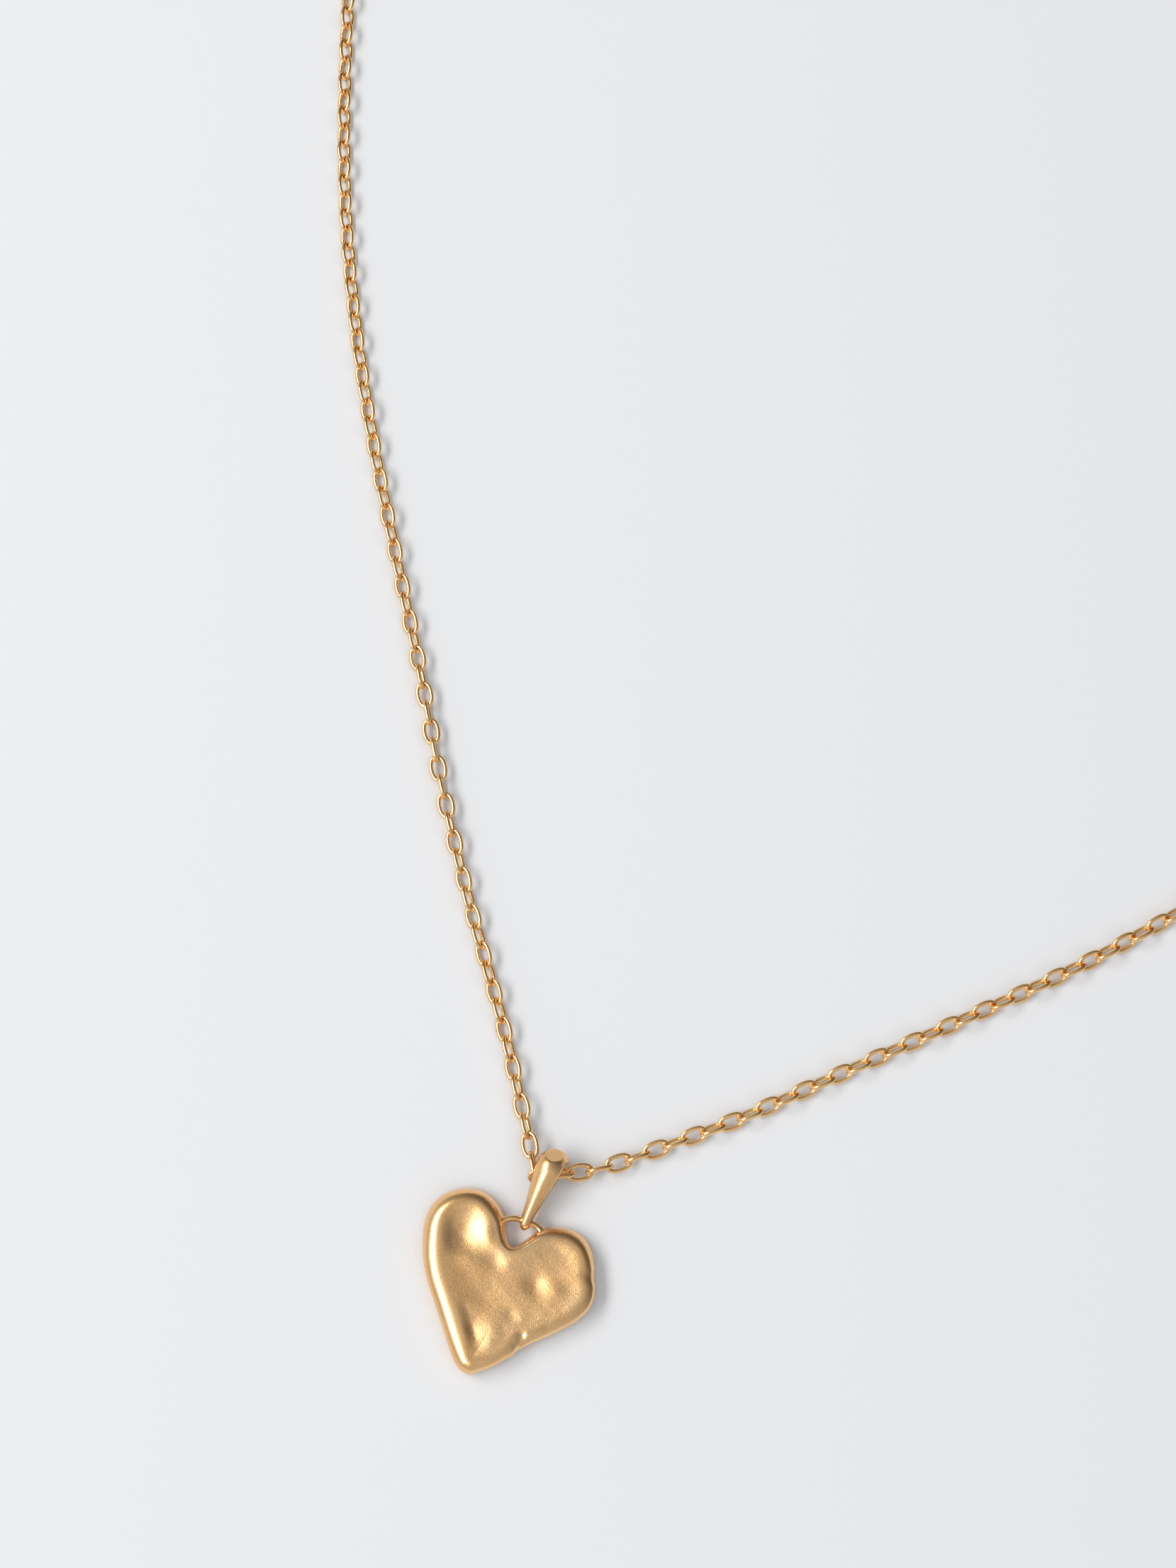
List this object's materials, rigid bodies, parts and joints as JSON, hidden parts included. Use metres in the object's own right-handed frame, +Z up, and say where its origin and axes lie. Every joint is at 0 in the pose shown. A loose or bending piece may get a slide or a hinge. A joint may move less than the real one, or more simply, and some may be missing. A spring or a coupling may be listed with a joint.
{
  "type": "pendant necklace",
  "caption": "Fine gold-plated cable chain necklace with a hand-formed satin heart on a tapered bail, a trigger clasp and an extender chain.",
  "frame": {"origin": "middle of the heart's flat back, on the surface the necklace lies on", "axes": "+Z up from the table through the heart's front face; +Y from the heart's tip to its notch and on along the laid chain; +X to the right of the heart seen from the front"},
  "size_m": [0.1289, 0.251, 0.0037],
  "materials": {
    "heart": "satin gold plate with a fine frosted grain",
    "loop": "polished gold plate",
    "bail": "satin gold plate",
    "chain": "polished gold plate",
    "rings": "polished gold plate",
    "clasp": "polished gold plate",
    "extender": "polished gold plate",
    "drop": "satin gold plate",
    "spring": "spring wire"
  },
  "bodies": {
    "centre": {"chain_centre": "chain"},
    "bail": {"bail": "bail"},
    "heart": {"heart_pendant": "heart", "heart_loop": "loop"},
    "left_1": {"chain_left_1": "chain"},
    "left_2": {"chain_left_2": "chain"},
    "left_3": {"chain_left_3": "chain"},
    "left_4": {"chain_left_4": "chain"},
    "left_5": {"chain_left_5": "chain"},
    "left_6": {"chain_left_6": "chain"},
    "left_7": {"chain_left_7": "chain"},
    "left_8": {"chain_left_8": "chain"},
    "right_1": {"chain_right_1": "chain"},
    "right_2": {"chain_right_2": "chain"},
    "right_3": {"chain_right_3": "chain"},
    "right_4": {"chain_right_4": "chain"},
    "right_5": {"chain_right_5": "chain"},
    "right_6": {"chain_right_6": "chain"},
    "right_7": {"chain_right_7": "chain"},
    "right_8": {"chain_right_8": "chain"},
    "clasp_ring": {"clasp_ring": "rings"},
    "clasp": {"clasp_body": "clasp", "lever_rivet": "clasp", "lever_spring": "spring"},
    "lever": {"clasp_lever": "clasp"},
    "extender_ring": {"extender_ring": "rings"},
    "extender_1": {"extender_1": "extender"},
    "extender_2": {"extender_2": "extender"},
    "extender_3": {"extender_3": "extender"},
    "drop_ring": {"drop_ring": "rings"},
    "end_drop": {"end_drop": "drop"}
  },
  "joints": [
    {"name": "bail_swing", "type": "hinge", "parent": "centre", "child": "bail", "pos_m": [0.00095, 0.01078, 0.00145], "axis": [-0.9063, -0.4226, 0], "range_deg": [0, 45]},
    {"name": "heart_swing", "type": "hinge", "parent": "bail", "child": "heart", "pos_m": [0.00035, 0.0062, 0.00125], "axis": [1, 0, 0], "range_deg": [-90, 50]},
    {"name": "left_1_turn", "type": "hinge", "parent": "centre", "child": "left_1", "pos_m": [-0.0004, 0.0103, 0.0016], "axis": [0, 0, 1], "range_deg": [-2, 35]},
    {"name": "left_2_lift", "type": "hinge", "parent": "left_1", "child": "left_2", "pos_m": [-0.0149, 0.03198, 0.00074], "axis": [0.825, 0.5651, 0], "range_deg": [0, 35]},
    {"name": "left_3_turn", "type": "hinge", "parent": "left_2", "child": "left_3", "pos_m": [-0.02878, 0.05408, 0.00075], "axis": [0, 0, 1], "range_deg": [-10, 30]},
    {"name": "left_4_lift", "type": "hinge", "parent": "left_3", "child": "left_4", "pos_m": [-0.04221, 0.07645, 0.00068], "axis": [0.8816, 0.4721, 0], "range_deg": [0, 35]},
    {"name": "left_5_turn", "type": "hinge", "parent": "left_4", "child": "left_5", "pos_m": [-0.0528, 0.10028, 0.00065], "axis": [0, 0, 1], "range_deg": [-12, 30]},
    {"name": "left_6_lift", "type": "hinge", "parent": "left_5", "child": "left_6", "pos_m": [-0.05989, 0.12536, 0.00071], "axis": [0.9867, 0.1627, 0], "range_deg": [0, 35]},
    {"name": "left_7_turn", "type": "hinge", "parent": "left_6", "child": "left_7", "pos_m": [-0.06009, 0.15136, 0.00067], "axis": [0, 0, 1], "range_deg": [-15, 30]},
    {"name": "left_8_lift", "type": "hinge", "parent": "left_7", "child": "left_8", "pos_m": [-0.05205, 0.17602, 0.00068], "axis": [0.8761, -0.4821, 0], "range_deg": [0, 35]},
    {"name": "right_1_turn", "type": "hinge", "parent": "centre", "child": "right_1", "pos_m": [0.0024, 0.0114, 0.0014], "axis": [0, 0, 1], "range_deg": [-30, 6]},
    {"name": "right_2_lift", "type": "hinge", "parent": "right_1", "child": "right_2", "pos_m": [0.02219, 0.02832, 0.00073], "axis": [0.6936, -0.7204, 0], "range_deg": [0, 35]},
    {"name": "right_3_turn", "type": "hinge", "parent": "right_2", "child": "right_3", "pos_m": [0.04073, 0.04667, 0.00072], "axis": [0, 0, 1], "range_deg": [-30, 10]},
    {"name": "right_4_lift", "type": "hinge", "parent": "right_3", "child": "right_4", "pos_m": [0.0563, 0.06755, 0.00073], "axis": [0.8776, -0.4793, 0], "range_deg": [0, 35]},
    {"name": "right_5_turn", "type": "hinge", "parent": "right_4", "child": "right_5", "pos_m": [0.06501, 0.09204, 0.00068], "axis": [0, 0, 1], "range_deg": [-30, 12]},
    {"name": "right_6_lift", "type": "hinge", "parent": "right_5", "child": "right_6", "pos_m": [0.0665, 0.11803, 0.00066], "axis": [0.9984, 0.0571, 0], "range_deg": [0, 35]},
    {"name": "right_7_turn", "type": "hinge", "parent": "right_6", "child": "right_7", "pos_m": [0.06164, 0.14359, 0.00069], "axis": [0, 0, 1], "range_deg": [-30, 15]},
    {"name": "right_8_lift", "type": "hinge", "parent": "right_7", "child": "right_8", "pos_m": [0.05009, 0.16694, 0.00066], "axis": [0.8723, 0.489, 0], "range_deg": [0, 35]},
    {"name": "clasp_ring_lift", "type": "hinge", "parent": "left_8", "child": "clasp_ring", "pos_m": [-0.03633, 0.19669, 0.00151], "axis": [0.6756, -0.7372, 0], "range_deg": [0, 30]},
    {"name": "clasp_turn", "type": "hinge", "parent": "clasp_ring", "child": "clasp", "pos_m": [-0.03437, 0.1984, 0.0011], "axis": [0, 0, 1], "range_deg": [-30, 30]},
    {"name": "lever_press", "type": "hinge", "parent": "clasp", "child": "lever", "pos_m": [-0.03296, 0.2006, 0.0011], "axis": [0, 0, -1], "range_deg": [0, 18], "stiffness_Nm_per_rad": 0.007, "springref_deg": -5.73},
    {"name": "extender_ring_turn", "type": "hinge", "parent": "right_8", "child": "extender_ring", "pos_m": [0.04004, 0.19083, 0.00151], "axis": [0, 0, 1], "range_deg": [-30, 30]},
    {"name": "extender_1_lift", "type": "hinge", "parent": "extender_ring", "child": "extender_1", "pos_m": [0.03956, 0.19338, 0.00151], "axis": [0.9801, 0.1985, 0], "range_deg": [0, 30]},
    {"name": "extender_2_turn", "type": "hinge", "parent": "extender_1", "child": "extender_2", "pos_m": [0.03845, 0.20839, 0.001], "axis": [0, 0, 1], "range_deg": [-30, 30]},
    {"name": "extender_3_lift", "type": "hinge", "parent": "extender_2", "child": "extender_3", "pos_m": [0.04005, 0.22364, 0.001], "axis": [0.9813, -0.1926, 0], "range_deg": [0, 35]},
    {"name": "drop_ring_turn", "type": "hinge", "parent": "extender_3", "child": "drop_ring", "pos_m": [0.04401, 0.23803, 0.0011], "axis": [0, 0, 1], "range_deg": [-30, 30]},
    {"name": "end_drop_lift", "type": "hinge", "parent": "drop_ring", "child": "end_drop", "pos_m": [0.0447, 0.23991, 0.00125], "axis": [0.9392, -0.3434, 0], "range_deg": [0, 30]}
  ]
}
